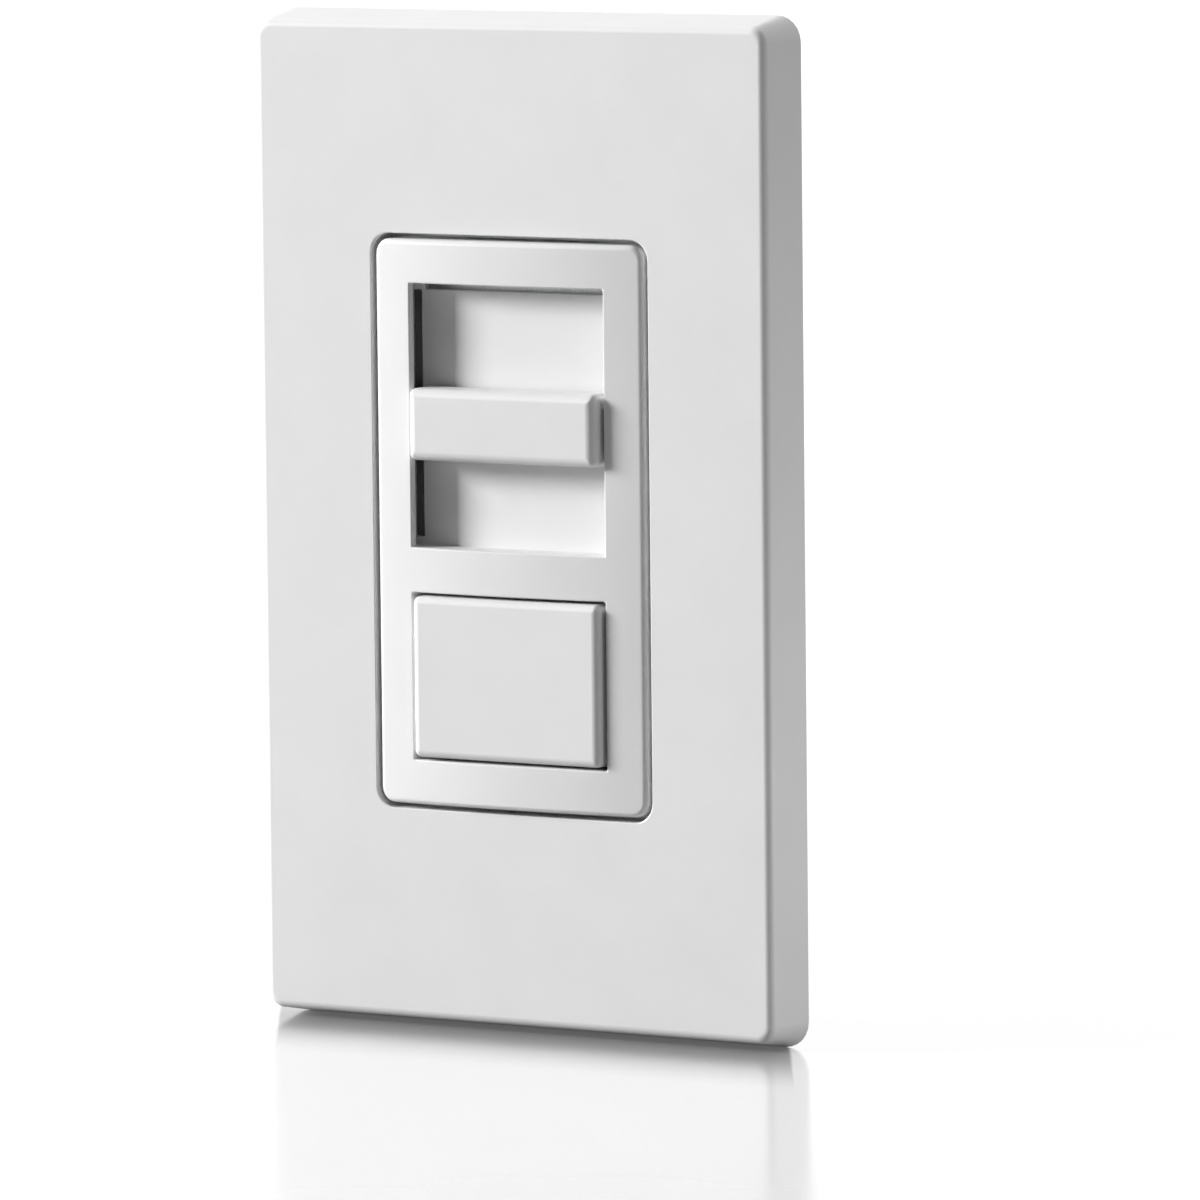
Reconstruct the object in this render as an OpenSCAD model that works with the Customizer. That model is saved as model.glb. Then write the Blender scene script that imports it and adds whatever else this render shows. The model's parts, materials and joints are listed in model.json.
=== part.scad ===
// Single-gang slide dimmer with a clip-on wall plate.
// +X is to the right, -Y faces the room, +Y goes into the wall, +Z is up.
// The origin is in the wall plane, midway between the two box screws.
// All sizes are in millimetres.

/* [Wall plate] */
// Width of the wall plate
plate_w = 69.85; // [69:0.05:76]
// Height of the wall plate
plate_h = 115.8; // [115:0.1:124]
// Depth of the wall plate, from the wall to its face
plate_t = 6.4; // [6.4:0.1:8]
// Thickness of the plate's face and sides
plate_wall = 2; // [1.6:0.1:2.2]
// Corner radius of the plate's face
plate_corner_r = 2; // [1:0.1:4]
// How far the plate's face is set in on each side from its rear outline
plate_draft = 1; // [0.4:0.1:1.2]

/* [Insert] */
// Width of the opening in the plate
open_w = 36.8; // [36.6:0.1:38]
// Height of the opening in the plate
open_h = 65.6; // [65.4:0.1:67]
// Gap between the opening and the insert
open_gap = 0.6; // [0.4:0.05:0.7]
// How far the middle of the insert stands out beyond its side edges
crown = 1.2; // [0.8:0.1:1.6]

/* [Slider] */
// Width of the slider recess and of the button window
recess_w = 25.7; // [25.5:0.1:26]
// Height of the slider recess
recess_h = 30; // [29.5:0.1:30.5]
// Height of the middle of the slider recess
recess_z = 12.2; // [12:0.05:12.4]
// Depth of the recess floor behind the insert's side edges
recess_depth = 2.6; // [2.4:0.1:2.6]
// Height of the slider knob
knob_h = 8.2; // [7.5:0.1:9]
// How far the knob stands out beyond the insert's side edges
knob_proud = 2; // [1.6:0.1:3]
// Height of the knob's middle in the rest position
knob_z = 11.3; // [11:0.1:13]

/* [Button] */
// Height of the push button
button_h = 18.4; // [18:0.1:18.6]
// Height of the button's middle
button_z = -17.5; // [-17.7:0.05:-17.4]
// How far the button stands out beyond the insert's side edges
button_proud = 1.5; // [1.3:0.1:1.8]

/* [Strap] */
// Thickness of the mounting strap
strap_t = 1.4; // [1.2:0.1:1.5]
// Distance between the two box screws
box_pitch = 83.3; // [83.2:0.05:83.4]
// Distance between the two adapter screws
adapter_pitch = 96.8; // [96.7:0.05:96.9]
// Length of the box screws behind the strap
box_screw_len = 22; // [16:1:30]

/* [Back housing] */
// Width of the housing in front of its step
case_w = 41; // [41:0.1:42]
// Height of the housing in front of its step
case_h = 66; // [66:0.1:67]
// Depth of the housing's step behind the wall plane
step_y = 20; // [20:0.5:22]
// Depth of the whole housing behind the wall plane
case_d = 28; // [27:0.5:32]
// Thickness of the housing's walls
case_wall = 1.8; // [1.6:0.1:1.8]

/* [Hidden] */
$fn = 64;

cut = 0.5;              // overrun of a cutting solid past the face that it cuts
play = 0.05;            // running clearance on each side of a guided piece
hole_play = 0.05;       // radial clearance round a screw, pin or rivet

// Depths from front to back
plate_front = -plate_t;
plate_inner = plate_front + plate_wall;
insert_edge = plate_front - 0.1;
insert_front = insert_edge - crown;
insert_t = 1.6;
insert_back = insert_edge + insert_t;
channel_front = insert_edge + 0.3;      // front of the channels that the knob's wings slide in
floor_front = insert_edge + recess_depth;
floor_back = floor_front + 1;
strap_front = -strap_t;
adapter_front = strap_front - 1.6;
carriage_front = floor_back + 0.1;
carriage_back = strap_front - 0.3;
knob_front = insert_edge - knob_proud;
knob_back = floor_front - 0.4;
button_front = insert_edge - button_proud;
button_skin = 1.6;
board_front = 8;
board_back = board_front + 1.6;

// Insert
insert_w = open_w - 2 * open_gap;
insert_h = open_h - 2 * open_gap;
open_r = 2.4;
insert_r = open_r - open_gap;
insert_wall = 1.6;
crown_r = (pow(insert_w / 2, 2) + pow(crown, 2)) / (2 * crown);
pocket_wall = 1.3;
recess_plate_w = insert_w - 2 * insert_wall - 0.4;
window_h = button_h + 0.7;
snap_x = 10;            // middle of the insert's snap legs
snap_w = 4;
snap_t = 1;
snap_z = insert_h / 2 - insert_wall - 0.95;

// Slider
knob_gap = 0.4;
knob_w = recess_w - 2 * knob_gap;
leg_t = 1;
leg_h = 6.4;
leg_out = knob_w / 2 + 2;       // outer face of the knob's legs, behind the insert's skin
stop_gap = 0.45;
travel_low = recess_z - recess_h / 2 + knob_h / 2 + stop_gap;
travel_high = recess_z + recess_h / 2 - knob_h / 2 - stop_gap;
carriage_h = 8;
lever_w = 2;
lever_h = 4;

// Slide potentiometer
pot_w = 12;
pot_h = 34;
pot_front = 0.4;
pot_back = 7.4;
pot_wall = 0.6;
track_front = 6;
track_back = 7.2;
wiper_front = 5.2;
pot_pin_z = 13;
pin_end = board_back + 1;
pin_r = 0.4;

// Button and its switch
button_travel = 2;
stem_r = 2.8;
flange_r = 3.9;
flange_back = 0.8;
nose_back = 1.9;
nose_r = 0.6;
spring_r = 4.3;
wire_r = 0.25;
spring_turns = 4;
switch_w = 14;
switch_h = 18.8;
switch_front = 0.3;
switch_wall = 1;
pivot_y = 2.45;
pivot_z = button_z - 7;
pivot_r = 0.6;
hub_r = 1.1;
lever_t = 0.9;
lever_len = 12.5;
contact_arm = 10.4;
contact_x = 2.6;
contact_angle = 17.5;
contact_tip = 0.95;
fixed_z = pivot_z + contact_arm * cos(contact_angle) - contact_tip * sin(contact_angle);

// Circuit board and what it carries
board_w = 29.6;
board_h = 53;
wide_board_x = 17;      // right edge of the board below wide_board_top
wide_board_top = -6.5;
triac_x = 12.4;
triac_w = 10;
triac_low = -26.4;
triac_tab_h = 6.5;
triac_body_h = 9;
triac_lead_pitch = 2.54;
triac_lead_z = -9;
rivet_z = triac_low + 2.8;
rivet_r = 1.6;
rivet_head_t = 0.9;
insulator_t = 0.25;
choke_z = -12;
core_r = 10;
core_hole_r = 5;
core_front = 12.2;
core_back = 19.2;
turn_count = 18;
turn_wire = 1;

// Housing, screws and terminals
block_w = 31;
block_h = 52;
boss_r = 2.8;
boss_x = 15.5;
boss_z = case_h / 2 - 3.4;
small_screw_r = 1.5;
screw_r = 1.75;
screw_head_r = 3.6;
screw_head_t = 2.2;
terminal_y = 5.2;
terminals = [[1, 16], [1, 1], [-1, 16]];    // side (+1 right, -1 left) and height
ground_z = -20;
pocket_h = 10.4;
pocket_back = 10.2;
pocket_floor = 16.8;
tail_z = 4;             // height of a terminal's tail above its screw
tail_x = 12.9;

// ---- Helpers ----

// Solid between two depths, from an outline drawn with X across and Z up
module layer(front, back) {
    translate([0, back, 0])
        rotate([90, 0, 0])
            linear_extrude(back - front)
                children();
}

// Box given by its ranges along X, Y and Z
module block(x, y, z) {
    translate([x[0], y[0], z[0]])
        cube([x[1] - x[0], y[1] - y[0], z[1] - z[0]]);
}

// Cylinder along Y between two depths, or a cone if it has a second radius
module round_y(r, front, back, back_r = -1) {
    translate([0, back, 0])
        rotate([90, 0, 0])
            cylinder(h = back - front, r1 = back_r < 0 ? r : back_r, r2 = r);
}

// Cylinder along X
module round_x(r, x) {
    translate([x[0], 0, 0])
        rotate([0, 90, 0])
            cylinder(h = x[1] - x[0], r = r);
}

// Rectangle with round corners
module round_rect(w, h, r) {
    square([w - 2 * r, h], center = true);
    square([w, h - 2 * r], center = true);
    for (x = [-1, 1], z = [-1, 1])
        translate([x * (w / 2 - r), z * (h / 2 - r)])
            circle(r);
}

// Slot with round ends, lying along X
module slot(length, width) {
    square([length - width, width], center = true);
    for (x = [-1, 1])
        translate([x * (length - width) / 2, 0])
            circle(width / 2);
}

// Round-cornered slab whose four front edges are chamfered
module chamfered(w, h, r, front, back, chamfer) {
    depth = back - front;
    intersection() {
        layer(front, back)
            round_rect(w, h, r);
        translate([0, front, -h / 2])
            linear_extrude(h)
                chamfer_outline(w, depth, chamfer);
        translate([-w / 2, front, 0])
            rotate([90, 0, 90])
                linear_extrude(w)
                    rotate(-90)
                        mirror([1, 0])
                            chamfer_outline(h, depth, chamfer);
    }
}

// Outline across a slab: its front edge at the bottom loses both corners
module chamfer_outline(w, depth, chamfer) {
    polygon([
        [-w / 2 + chamfer, 0],
        [w / 2 - chamfer, 0],
        [w / 2, chamfer],
        [w / 2, depth],
        [-w / 2, depth],
        [-w / 2, chamfer]
    ]);
}

// Slab whose sides slope outwards from front to back. Its front edges are chamfered
// and its corner radius grows from r at the front to r + draft at the back.
module drafted(w, h, r, front, back, draft, chamfer) {
    depth = back - front;
    core_w = w - 2 * (r + draft);
    core_h = h - 2 * (r + draft);
    translate([0, front, -core_h / 2])
        linear_extrude(core_h)
            drafted_outline(w, depth, draft, chamfer);
    translate([-core_w / 2, front, 0])
        rotate([90, 0, 90])
            linear_extrude(core_w)
                rotate(-90)
                    mirror([1, 0])
                        drafted_outline(h, depth, draft, chamfer);
    for (x = [-1, 1], z = [-1, 1])
        translate([x * core_w / 2, 0, z * core_h / 2]) {
            round_y(r - chamfer, front, front + chamfer, r);
            round_y(r, front + chamfer, back, r + draft);
        }
}

// Outline across a drafted slab, with its front edge at the bottom
module drafted_outline(w, depth, draft, chamfer) {
    polygon([
        [-w / 2 + draft + chamfer, 0],
        [w / 2 - draft - chamfer, 0],
        [w / 2 - draft, chamfer],
        [w / 2, depth],
        [-w / 2, depth],
        [-w / 2 + draft, chamfer]
    ]);
}

// Repeats its children at heights +z and -z
module top_and_bottom(z) {
    for (side = [-1, 1])
        translate([0, 0, side * z])
            children();
}

// ---- Wall plate and its adapter ----

adapter_w = 62;
adapter_h = 108;

module wall_plate() {
    collar = 1.5;
    rib_w = 6;
    inner_w = plate_w - 2 * plate_wall;
    inner_h = plate_h - 2 * plate_wall;
    color("whitesmoke") {
        difference() {
            drafted(plate_w, plate_h, plate_corner_r, plate_front, 0, plate_draft, 0.8);
            layer(plate_inner, cut)
                round_rect(inner_w, inner_h, 1);
            layer(plate_front - cut, cut)
                round_rect(open_w, open_h, open_r);
        }
        difference() {
            layer(plate_inner, adapter_front - 0.4)
                round_rect(open_w + 2 * collar, open_h + 2 * collar, open_r + collar);
            layer(plate_inner - cut, cut)
                round_rect(open_w, open_h, open_r);
        }
        for (side = [-1, 1], end = [-1, 1]) {
            translate([0, 0, end * plate_h / 4])
                mirror([side < 0 ? 1 : 0, 0, 0])
                    block([adapter_w / 2 + play, inner_w / 2], [plate_inner, -0.6], [-rib_w / 2, rib_w / 2]);
            translate([end * plate_w / 4, 0, 0])
                mirror([0, 0, side < 0 ? 1 : 0])
                    block([-rib_w / 2, rib_w / 2], [plate_inner, -0.6], [adapter_h / 2 + play, inner_h / 2]);
        }
    }
}

module plate_adapter() {
    window_w = 42.6;
    window_tall = 71.6;
    rim = 1.2;
    box_hole_r = 3.8;
    head_r = 2.9;
    color("white")
        difference() {
            union() {
                layer(adapter_front, strap_front)
                    round_rect(adapter_w, adapter_h, 3);
                layer(adapter_front - rim, adapter_front)
                    difference() {
                        round_rect(adapter_w, adapter_h, 3);
                        round_rect(adapter_w - 2 * rim, adapter_h - 2 * rim, 2);
                    }
            }
            layer(adapter_front - rim - cut, cut)
                round_rect(window_w, window_tall, 2);
            top_and_bottom(box_pitch / 2)
                round_y(box_hole_r, adapter_front - cut, cut);
            top_and_bottom(adapter_pitch / 2) {
                round_y(screw_r + hole_play, adapter_front - cut, cut);
                round_y(head_r, adapter_front - play, adapter_front + 1.2, screw_r + hole_play);
            }
        }
}

module adapter_screws() {
    head_r = 2.85;
    driver_w = 0.8;
    color("silver")
        top_and_bottom(adapter_pitch / 2)
            difference() {
                union() {
                    round_y(screw_r, adapter_front + 1.1, 4);
                    round_y(head_r, adapter_front, adapter_front + 1.1, screw_r);
                }
                block([-head_r, head_r], [adapter_front - cut, adapter_front + 0.6], [-driver_w / 2, driver_w / 2]);
            }
}

// ---- Strap ----

strap_w = 43;
strap_body_h = 69.2;
strap_h = 106.4;
ear_w = 22;

// Front outline of the strap before its holes are cut
module strap_outline() {
    tab_x = 16.6;
    round_rect(strap_w, strap_body_h, 1);
    round_rect(ear_w, strap_h, 2);
    for (side = [-1, 1], end = [-1, 1]) {
        translate([side * tab_x, end * 48])
            round_rect(9.8, 9, 1.5);
        translate([side * ear_w / 2, end * 48])
            square([4, 5], center = true);
    }
}

module mounting_strap() {
    color("lightgray")
        difference() {
            union() {
                layer(strap_front, 0)
                    strap_outline();
                block([-strap_w / 2, -strap_w / 2 + strap_t], [-strap_t, 9.6], [ground_z - 4.5, ground_z + 4.5]);
            }
            layer(strap_front - cut, cut) {
                for (end = [-1, 1]) {
                    translate([0, end * box_pitch / 2])
                        slot(6.5, 4.2);
                    translate([0, end * adapter_pitch / 2])
                        circle(screw_r + hole_play);
                    for (side = [-1, 1]) {
                        translate([side * boss_x, end * boss_z])
                            circle(small_screw_r + hole_play);
                        translate([side * snap_x, end * snap_z])
                            square([snap_w + 0.6, snap_t + 0.5], center = true);
                    }
                }
                translate([-lever_w / 2 - 0.8, travel_low - lever_h / 2 - stop_gap])
                    square([lever_w + 1.6, travel_high - travel_low + lever_h + 2 * stop_gap]);
                translate([0, button_z])
                    circle(stem_r + 0.4);
                translate([triac_x, rivet_z])
                    circle(rivet_r + hole_play);
            }
            translate([0, terminal_y, ground_z])
                round_x(screw_r + hole_play, [-strap_w / 2 - cut, -strap_w / 2 + strap_t + cut]);
        }
}

module box_screws() {
    neck_r = 1.45;
    head_r = 3.5;
    head_front = strap_front - 1.9;
    driver_w = 1;
    color("silver")
        top_and_bottom(box_pitch / 2) {
            round_y(screw_r, 0, box_screw_len);
            round_y(neck_r, strap_front - play, play);
            difference() {
                round_y(head_r, head_front, strap_front);
                block([-head_r, head_r], [head_front - cut, head_front + 1], [-driver_w / 2, driver_w / 2]);
            }
        }
}

// ---- Insert, slider and button ----

// Snap leg that passes through the strap and hooks behind it
module snap_leg() {
    hook = 0.7;
    translate([snap_x, 0, snap_z]) {
        block([-snap_w / 2, snap_w / 2], [insert_back, 1], [-snap_t / 2, snap_t / 2]);
        block([-snap_w / 2, snap_w / 2], [insert_back, strap_front - 0.1], [snap_t / 2 - play, 1]);
        block([-snap_w / 2, snap_w / 2], [play, 1], [-snap_t / 2 - hook, -snap_t / 2 + play]);
    }
}

module face_frame() {
    channel_w = 2 * leg_out + 1;
    guide_back = insert_back + 1.9;
    color("whitesmoke")
        difference() {
            union() {
                difference() {
                    intersection() {
                        layer(insert_front - cut, strap_front)
                            round_rect(insert_w, insert_h, insert_r);
                        translate([0, insert_front + crown_r, -insert_h])
                            cylinder(h = 2 * insert_h, r = crown_r, $fn = 720);
                    }
                    layer(insert_back, cut)
                        round_rect(insert_w - 2 * insert_wall, insert_h - 2 * insert_wall, 0.8);
                }
                layer(insert_back - play, floor_front)
                    translate([0, recess_z])
                        square([recess_plate_w, recess_h + 2 * pocket_wall], center = true);
                layer(insert_back - play, guide_back)
                    translate([0, button_z])
                        square([recess_w + 2 * pocket_wall, window_h + 2 * pocket_wall], center = true);
                for (x = [0, 1], z = [0, 1])
                    mirror([x, 0, 0])
                        mirror([0, 0, z])
                            snap_leg();
            }
            layer(insert_front - cut, cut)
                translate([0, recess_z])
                    square([recess_w, recess_h], center = true);
            layer(channel_front, cut)
                translate([0, recess_z])
                    square([channel_w, recess_h], center = true);
            layer(insert_front - cut, cut)
                translate([0, button_z])
                    square([recess_w, window_h], center = true);
        }
}

// Floor of the recess, fixed behind the insert once the knob is in
module recess_plate() {
    slot_low = travel_low - leg_h / 2 - stop_gap;
    slot_high = travel_high + leg_h / 2 + stop_gap;
    color("whitesmoke")
        difference() {
            layer(floor_front, floor_back)
                translate([0, recess_z])
                    square([recess_plate_w, recess_h + 2 * pocket_wall], center = true);
            for (x = [0, 1])
                mirror([x, 0, 0])
                    block(
                        [leg_out - leg_t - 0.25, leg_out + 0.25],
                        [floor_front - cut, floor_back + cut],
                        [slot_low, slot_high]
                    );
        }
}

module slider_knob() {
    color("whitesmoke")
        translate([0, 0, knob_z]) {
            chamfered(knob_w, knob_h, 0.6, knob_front, knob_back, 0.8);
            for (x = [0, 1])
                mirror([x, 0, 0]) {
                    block([knob_w / 2 - play, leg_out], [channel_front + 0.3, knob_back], [-leg_h / 2, leg_h / 2]);
                    block(
                        [leg_out - leg_t, leg_out],
                        [knob_back - play, carriage_back - 0.1],
                        [-leg_h / 2, leg_h / 2]
                    );
                }
        }
}

module slider_carriage() {
    reach = leg_out + play + 1;
    color("dimgray")
        translate([0, 0, knob_z])
            difference() {
                layer(carriage_front, carriage_back)
                    round_rect(2 * reach, carriage_h, 0.8);
                for (x = [0, 1])
                    mirror([x, 0, 0])
                        block(
                            [leg_out - leg_t - play, leg_out + play],
                            [carriage_front - cut, carriage_back + cut],
                            [-leg_h / 2 - play, leg_h / 2 + play]
                        );
                layer(carriage_front - cut, carriage_back + cut)
                    square([lever_w + 2 * play, lever_h + 2 * play], center = true);
            }
}

module button_cap() {
    skirt = 1.2;
    skirt_back = strap_front - rivet_head_t - button_travel - 0.4;     // stops short of the rivet
    color("whitesmoke")
        translate([0, 0, button_z])
            difference() {
                chamfered(knob_w, button_h, 0.6, button_front, skirt_back, 0.9);
                layer(button_front + button_skin, skirt_back + cut)
                    square([knob_w - 2 * skirt, button_h - 2 * skirt], center = true);
            }
}

module button_plunger() {
    color("dimgray")
        translate([0, 0, button_z]) {
            round_y(stem_r, button_front + button_skin, flange_back);
            round_y(flange_r, 0.1, flange_back);
            round_y(nose_r, flange_back - play, nose_back);
        }
}

// Centre line of a coil at a fraction t of its length
function coil_point(t, r, turns, front, back) =
    [r * cos(360 * turns * t), front + (back - front) * t, r * sin(360 * turns * t)];

// One coil wire: a ring of points round the centre line at each step
module coil(r, wire, turns, front, back) {
    steps = turns * 20;
    sides = 6;
    points = [
        for (step = [0 : steps], side = [0 : sides - 1])
            let (
                t = step / steps,
                centre = coil_point(t, r, turns, front, back),
                turn = 360 * turns * t,
                around = 360 * side / sides,
                out = [cos(turn), 0, sin(turn)]
            )
            centre + wire * (cos(around) * out + sin(around) * [0, 1, 0])
    ];
    faces = [
        for (step = [0 : steps - 1], side = [0 : sides - 1])
            let (next = (side + 1) % sides, a = step * sides, b = (step + 1) * sides)
            [a + side, a + next, b + next, b + side]
    ];
    first_cap = [for (side = [0 : sides - 1]) sides - 1 - side];
    last_cap = [for (side = [0 : sides - 1]) steps * sides + side];
    polyhedron(points, concat(faces, [first_cap, last_cap]));
}

module button_spring() {
    color("silver")
        translate([0, 0, button_z])
            coil(spring_r, wire_r, spring_turns, button_front + button_skin + wire_r, strap_front - wire_r);
}

// ---- Slide potentiometer ----

module pot_housing() {
    color("gainsboro")
        translate([0, 0, recess_z])
            difference() {
                block([-pot_w / 2, pot_w / 2], [pot_front, pot_back], [-pot_h / 2, pot_h / 2]);
                block(
                    [-pot_w / 2 + pot_wall, pot_w / 2 - pot_wall],
                    [pot_front + pot_wall, pot_back + cut],
                    [-pot_h / 2 + pot_wall, pot_h / 2 - pot_wall]
                );
                layer(pot_front - cut, pot_front + pot_wall + cut)
                    square([lever_w + 1.2, pot_h - 6], center = true);
            }
}

module pot_lever() {
    block_front = 4.2;
    color("ivory")
        translate([0, 0, knob_z]) {
            block([-lever_w / 2, lever_w / 2], [carriage_front + play, block_front + play], [-lever_h / 2, lever_h / 2]);
            block([-4.6, 4.6], [block_front, wiper_front], [-4, 4]);
        }
}

module pot_wiper() {
    color("gold")
        translate([0, 0, knob_z])
            for (side = [-1, 1])
                translate([side * 1.7, 0, 0])
                    block([-0.5, 0.5], [wiper_front, track_front - 0.1], [-3, 3]);
}

module pot_track() {
    color("saddlebrown")
        translate([0, 0, recess_z])
            block(
                [-pot_w / 2 + pot_wall + play, pot_w / 2 - pot_wall - play],
                [track_front, track_back],
                [-pot_h / 2 + pot_wall + play, pot_h / 2 - pot_wall - play]
            );
}

module pot_terminals() {
    color("gold")
        translate([0, 0, recess_z]) {
            for (x = [-2.5, 2.5])
                translate([x, 0, -pot_pin_z])
                    round_y(pin_r, track_back, pin_end);
            translate([0, 0, pot_pin_z])
                round_y(pin_r, track_back, pin_end);
        }
}

// ---- Switch ----

module switch_housing() {
    color("black")
        difference() {
            translate([0, 0, button_z])
                difference() {
                    block([-switch_w / 2, switch_w / 2], [switch_front, board_front], [-switch_h / 2, switch_h / 2]);
                    block(
                        [-switch_w / 2 + switch_wall, switch_w / 2 - switch_wall],
                        [switch_front + 0.7, board_front - 0.9],
                        [-switch_h / 2 + switch_wall, switch_h / 2 - switch_wall]
                    );
                    round_y(flange_r + 0.6, switch_front - cut, switch_front + switch_wall);
                }
            translate([0, pivot_y, pivot_z])
                round_x(pivot_r + hole_play, [-switch_w / 2 - cut, switch_w / 2 + cut]);
            for (side = [-1, 1])
                translate([side * contact_x, 0, fixed_z])
                    round_y(pin_r + hole_play, board_front - 1.5, board_front + cut);
        }
}

module switch_lever() {
    half = 4.4;
    color("ivory")
        translate([0, pivot_y, pivot_z])
            difference() {
                union() {
                    round_x(hub_r, [-half, half]);
                    block([-half, half], [-lever_t / 2, lever_t / 2], [0, lever_len]);
                }
                round_x(pivot_r + hole_play, [-half - cut, half + cut]);
            }
}

module lever_pin() {
    color("silver")
        translate([0, pivot_y, pivot_z])
            round_x(pivot_r, [-switch_w / 2 + 0.2, switch_w / 2 - 0.2]);
}

module contact_bridge() {
    strip_t = 0.2;
    color("orange")
        translate([0, pivot_y + lever_t / 2, pivot_z + contact_arm]) {
            block([-3.6, 3.6], [0, strip_t], [-1.2, 1.2]);
            for (side = [-1, 1])
                translate([side * contact_x, 0, 0])
                    round_y(0.8, strip_t, contact_tip - lever_t / 2);
        }
}

module fixed_contacts() {
    head_front = 6.85;
    color("orange")
        for (side = [-1, 1])
            translate([side * contact_x, 0, fixed_z]) {
                round_y(1.2, head_front, board_front - 0.9);
                round_y(pin_r, board_front - 0.9 - play, pin_end);
            }
}

// ---- Circuit board and its parts ----

module circuit_board() {
    color("darkgreen")
        difference() {
            layer(board_front, board_back) {
                square([board_w, board_h], center = true);
                translate([0, -board_h / 2])
                    square([wide_board_x, board_h / 2 + wide_board_top]);
            }
            for (x = [-2.5, 2.5])
                translate([x, 0, recess_z - pot_pin_z])
                    round_y(pin_r + hole_play, board_front - cut, board_back + cut);
            translate([0, 0, recess_z + pot_pin_z])
                round_y(pin_r + hole_play, board_front - cut, board_back + cut);
            for (side = [-1, 1])
                translate([side * contact_x, 0, fixed_z])
                    round_y(pin_r + hole_play, board_front - cut, board_back + cut);
            for (lead = [-1, 0, 1])
                translate([triac_x + lead * triac_lead_pitch, 0, triac_lead_z])
                    layer(board_front - cut, board_back + cut)
                        square([1, 0.8], center = true);
            for (place = terminals)
                translate([place[0] * tail_x, 0, place[1] + tail_z])
                    layer(board_front - cut, board_back + cut)
                        square([1.2, 1.4], center = true);
        }
}

module triac() {
    tab_back = insulator_t + 1.3;
    body_back = insulator_t + 4.4;
    body_low = triac_low + triac_tab_h;
    body_high = body_low + triac_body_h;
    lead_y = 2.6;
    color("dimgray")
        translate([triac_x, 0, 0]) {
            difference() {
                block([-triac_w / 2, triac_w / 2], [insulator_t, tab_back], [triac_low, body_high]);
                translate([0, 0, rivet_z])
                    round_y(rivet_r + 0.2, insulator_t - cut, tab_back + cut);
            }
            block([-triac_w / 2, triac_w / 2], [tab_back - play, body_back], [body_low, body_high]);
            for (lead = [-1, 0, 1])
                translate([lead * triac_lead_pitch, 0, 0]) {
                    block([-0.4, 0.4], [lead_y, lead_y + 0.5], [body_high - play, triac_lead_z + 0.25]);
                    block([-0.4, 0.4], [lead_y, pin_end], [triac_lead_z - 0.25, triac_lead_z + 0.25]);
                }
        }
}

module triac_insulator() {
    color("khaki")
        translate([triac_x, 0, 0])
            difference() {
                block([-5.2, 5.2], [0, insulator_t], [triac_low - 0.2, triac_low + 16]);
                translate([0, 0, rivet_z])
                    round_y(rivet_r + 0.1, -cut, insulator_t + cut);
            }
}

module triac_rivet() {
    head_r = 2.6;
    tab_back = insulator_t + 1.3;
    color("silver")
        translate([triac_x, 0, rivet_z]) {
            round_y(rivet_r, strap_front, tab_back);
            round_y(head_r, strap_front - rivet_head_t, strap_front);
            round_y(head_r, tab_back, tab_back + 0.8);
        }
}

module choke_core() {
    color("slategray")
        translate([0, 0, choke_z])
            difference() {
                round_y(core_r, core_front, core_back);
                round_y(core_hole_r, core_front - cut, core_back + cut);
            }
}

// One turn of wire round the core's section, lying in a plane through its axis
module choke_turn() {
    gap = 0.1;
    difference() {
        block(
            [core_hole_r - gap - turn_wire, core_r + gap + turn_wire],
            [core_front - gap - turn_wire, core_back + gap + turn_wire],
            [-turn_wire / 2, turn_wire / 2]
        );
        block(
            [core_hole_r - gap, core_r + gap],
            [core_front - gap, core_back + gap],
            [-turn_wire, turn_wire]
        );
    }
}

module choke_winding() {
    color("peru")
        translate([0, 0, choke_z])
            for (turn = [0 : turn_count - 1])
                rotate([0, 360 * turn / turn_count, 0])
                    choke_turn();
}

module film_capacitor() {
    color("goldenrod")
        translate([0, 0, 9])
            block([-9, 9], [board_back + 0.1, board_back + 12], [-3.5, 3.5]);
}

module timing_capacitors() {
    color("goldenrod")
        for (side = [-1, 1])
            translate([side * 8, 0, 16.6])
                block([-3.6, 3.6], [board_back + 0.1, board_back + 7.5], [-1.5, 1.5]);
}

// Small part with two leads bent down to the board
module axial_part(r, length, span) {
    axis_y = board_back + 1.4;
    translate([0, axis_y, 0])
        round_x(r, [-length / 2, length / 2]);
    for (side = [-1, 1])
        mirror([side < 0 ? 1 : 0, 0, 0]) {
            block([length / 2 - play, span / 2], [axis_y - 0.3, axis_y + 0.3], [-0.3, 0.3]);
            block([span / 2 - 0.6, span / 2], [board_back, axis_y], [-0.3, 0.3]);
        }
}

module resistors() {
    color("tan")
        for (place = [[-7.5, 22], [7.5, 22.6], [-7.5, 25]])
            translate([place[0], 0, place[1]])
                axial_part(1.1, 6, 10);
}

module diac() {
    color("steelblue")
        translate([7.5, 0, 25.4])
            axial_part(0.9, 4, 9);
}

// ---- Back housing and its fasteners ----

module terminal_pocket_wall(side, z) {
    wall = 1.6;
    mirror([side < 0 ? 1 : 0, 0, 0])
        block(
            [pocket_floor - wall, case_w / 2 - case_wall + play],
            [0, pocket_back + 1.2],
            [z - pocket_h / 2 - 1.2, z + pocket_h / 2 + 1.2]
        );
}

module terminal_pocket(side, z) {
    mirror([side < 0 ? 1 : 0, 0, 0]) {
        block([pocket_floor, case_w / 2 + cut], [-cut, pocket_back], [z - pocket_h / 2, z + pocket_h / 2]);
        translate([0, terminal_y, z])
            round_x(screw_r + 0.1, [pocket_floor - 3, pocket_floor + cut]);
    }
}

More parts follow.
